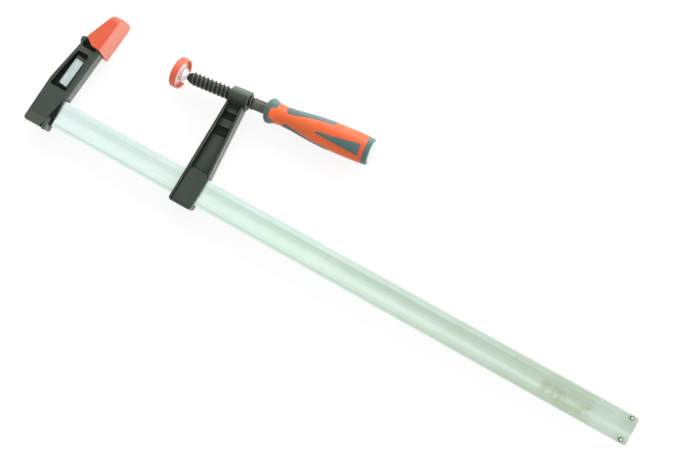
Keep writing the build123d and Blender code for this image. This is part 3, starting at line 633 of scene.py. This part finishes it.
def plate_aluminium(middle):
    """Brushed aluminium, with painted shade inside the plate's border."""
    material, tree, surface = new_finish("name_plate_aluminium", Specular_ior_level=0.5)
    where = turned_place(tree, middle, plate_lean + 90.0)
    lines = use(tree, drawn_lines, where=where, across=2600.0, along=60.0)["Lines"]
    edge = use(tree, rubbed_edge, radius=0.00015, breakup=500.0, reach=0.8)
    haze = cloud(tree, where, 140.0)
    corner = remap(tree, openness(tree, 0.0012), 0.95, 0.45)
    metal = tint(tree, haze, shade(196, 214, 212), shade(212, 226, 224))
    metal = layer(tree, metal, shade(166, 184, 182), remap(tree, lines, 0.3, 0.7), strength=0.25)
    # Painted shade inside the border
    metal = layer(tree, metal, shade(70, 84, 84), corner, strength=0.7)
    metal = layer(tree, metal, shade(236, 244, 242), edge["Mask"], strength=0.4)
    lay_on(
        tree,
        surface,
        metal,
        rough=remap(tree, lines, 0.3, 0.7, 0.28, 0.42),
        metal=remap(tree, haze, 0.0, 1.0, 0.35, 0.55),
        height=lines,
        depth=0.000006,
        rounded=edge["Normal"],
    )
    return material


def pale_plug():
    """Pale plastic of the handle's end plug."""
    material, tree, surface = new_finish(
        "pale_end_plug", Specular_ior_level=0.5, Subsurface_weight=0.25, Subsurface_scale=0.003
    )
    edge = use(tree, rubbed_edge, radius=0.0005, breakup=260.0, reach=0.8)
    grain = use(tree, moulded_grain, grain=2600.0, handling=80.0)
    pale = tint(tree, grain["Sheen"], shade(206, 220, 216), shade(218, 229, 226))
    pale = layer(tree, pale, shade(176, 190, 184), grain["Specks"], strength=0.4)
    rough = remap(tree, grain["Sheen"], 0.0, 1.0, 0.30, 0.48)
    lay_on(tree, surface, pale, rough, grain["Height"], depth=0.00003, rounded=edge["Normal"])
    return material


def dress(material, *names):
    """Give a finish to nodes of the solid model."""
    for name in names:
        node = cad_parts[name]
        node.data.materials.clear()
        node.data.materials.append(material)


dress(zinc_rail(), "rail")
dress(stop_pin_steel(), "rail_stop_pins")
dress(black_casting(), "fixed_jaw", "sliding_jaw")
dress(soft_cap(), "fixed_jaw_cap", "pressure_plate_cap")
dress(blackened_screw(), "spindle")
dress(bright_steel(), "swivel_bush", "pressure_plate")
dress(handle_orange(), "handle_core")
dress(soft_grip(), "grip_front_collar", "grip_front_inlays", "grip_rear_inlays", "grip_end_collar")
dress(pale_plug(), "handle_end_plug")


# The blank name plate, made by hand over the solid model
def pick(piece, kind, test):
    """In edit mode, select only the faces or edges whose middle and direction pass a test."""
    mesh = bmesh.from_edit_mesh(piece.data)
    bpy.ops.mesh.select_all(action="DESELECT")
    bpy.context.tool_settings.mesh_select_mode = (False, kind == "edges", kind == "faces")
    for item in getattr(mesh, kind):
        middle = sum((corner.co for corner in item.verts), Vector()) / len(item.verts)
        line = item.normal if kind == "faces" else (item.verts[1].co - item.verts[0].co).normalized()
        if test(middle, line):
            item.select = True
    mesh.select_flush_mode()
    bmesh.update_edit_mesh(piece.data)


def blank_name_plate():
    """Plate with round corners, a raised border and a sunk bare field."""
    wide, tall, thick = 0.0095, 0.031, 0.0012
    corner_round, border, field_depth, edge_round = 0.001, 0.0008, 0.00035, 0.00012
    low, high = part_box("badge_plate")
    seat = (Vector(low) + Vector(high)) / 2
    bpy.ops.mesh.primitive_cube_add(size=1.0, location=(0.0, 0.0, 0.0))
    plate = bpy.context.object
    bpy.ops.object.mode_set(mode="EDIT")
    bpy.ops.transform.resize(value=(wide, tall, thick))
    pick(plate, "edges", lambda middle, line: abs(line.z) > 0.9)
    bpy.ops.mesh.bevel(offset=corner_round, segments=6, affect="EDGES")
    pick(plate, "faces", lambda middle, line: line.z > 0.9)
    bpy.ops.mesh.inset(thickness=border)
    bpy.ops.mesh.extrude_region_move(TRANSFORM_OT_translate={"value": (0.0, 0.0, -field_depth)})
    pick(plate, "edges", lambda middle, line: abs(line.z) < 0.1 and middle.z > thick / 2 - 0.0001)
    bpy.ops.mesh.bevel(offset=edge_round, segments=2, affect="EDGES")
    bpy.ops.mesh.select_all(action="SELECT")
    bpy.ops.transform.rotate(value=radians(-plate_lean), orient_axis="Z", center_override=(0.0, 0.0, 0.0))
    bpy.ops.transform.translate(value=seat)
    bpy.ops.object.mode_set(mode="OBJECT")
    bpy.ops.object.shade_smooth_by_angle(angle=radians(35.0))
    plate.name = "blank_name_plate"
    plate.data.name = "blank_name_plate"
    plate.data.materials.append(plate_aluminium(seat))
    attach(plate, "frame")
    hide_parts("badge_plate")
    plate.select_set(False)


blank_name_plate()


# Floor, light and camera
def seen_straight(tree):
    """1 for the camera's rays and for those in gloss and glass, 0 for light on the object."""
    ray = put(tree, "ShaderNodeLightPath").outputs
    return calc(tree, "MAXIMUM", ray["Is Camera Ray"], ray["Is Glossy Ray"], ray["Is Transmission Ray"])


def white_floor():
    """White paper that keeps the clamp's shadow."""
    material = bpy.data.materials.new("white_floor")
    material.use_nodes = True
    tree = material.node_tree
    tree.nodes.remove(tree.nodes["Principled BSDF"])
    paper = put(tree, "ShaderNodeBsdfDiffuse", {"Color": (0.85, 0.85, 0.85)}).outputs[0]
    veil = put(tree, "ShaderNodeBsdfDiffuse", {"Color": (0.26, 0.26, 0.26)}).outputs[0]
    glow = put(tree, "ShaderNodeEmission", {"Color": (1.0, 1.0, 1.0), "Strength": 0.82}).outputs[0]
    bright = put(tree, "ShaderNodeAddShader", {0: veil, 1: glow}).outputs[0]
    mix = put(tree, "ShaderNodeMixShader", {0: seen_straight(tree), 1: paper, 2: bright}).outputs[0]
    feed(tree, tree.nodes["Material Output"].inputs["Surface"], mix)
    return material


def white_studio():
    """World that is seen as white and lights the clamp half as strongly."""
    world = bpy.data.worlds.new("studio")
    world.use_nodes = True
    tree = world.node_tree
    tree.nodes.remove(tree.nodes["Background"])
    lit = put(tree, "ShaderNodeBackground", {"Color": (1.0, 1.0, 1.0), "Strength": 0.50}).outputs[0]
    seen = put(tree, "ShaderNodeBackground", {"Color": (1.0, 1.0, 1.0), "Strength": 1.0}).outputs[0]
    mix = put(tree, "ShaderNodeMixShader", {0: seen_straight(tree), 1: lit, 2: seen}).outputs[0]
    feed(tree, tree.nodes["World Output"].inputs["Surface"], mix)
    return world


def soft_box(name, place, wide, high, power):
    """Area lamp that faces the middle of the clamp."""
    bpy.ops.object.light_add(type="AREA", location=place)
    lamp = bpy.context.object
    lamp.name = name
    lamp.data.shape = "RECTANGLE"
    lamp.data.size = wide
    lamp.data.size_y = high
    lamp.data.energy = power
    lamp.rotation_euler = (view_middle - Vector(place)).to_track_quat("-Z", "Y").to_euler()


bpy.ops.mesh.primitive_plane_add(size=8.0, location=(view_middle.x, view_middle.y, cad_low.z))
floor = bpy.context.object
floor.name = "floor"
floor.data.materials.append(white_floor())
bpy.context.scene.world = white_studio()
soft_box("box_far_side", place=(0.05, 1.50, 0.72), wide=3.2, high=1.3, power=30.0)
soft_box("box_handle_side", place=(2.60, 0.60, 0.84), wide=3.2, high=1.6, power=40.0)

# Camera where the photograph was taken from, by the solved view
camera_place = (0.45261, -0.08558, 0.92921)
camera_turn = (5.7973, 6.9937, 29.1639)
bpy.ops.object.camera_add(location=camera_place)
camera = bpy.context.object
camera.name = "camera"
camera.rotation_euler = Euler([radians(turn) for turn in camera_turn])
camera.data.sensor_width = 36.0
camera.data.lens = 49.648
camera.data.clip_start = 0.01
camera.data.clip_end = 20.0
bpy.context.scene.camera = camera
bpy.context.scene.view_settings.view_transform = "Standard"
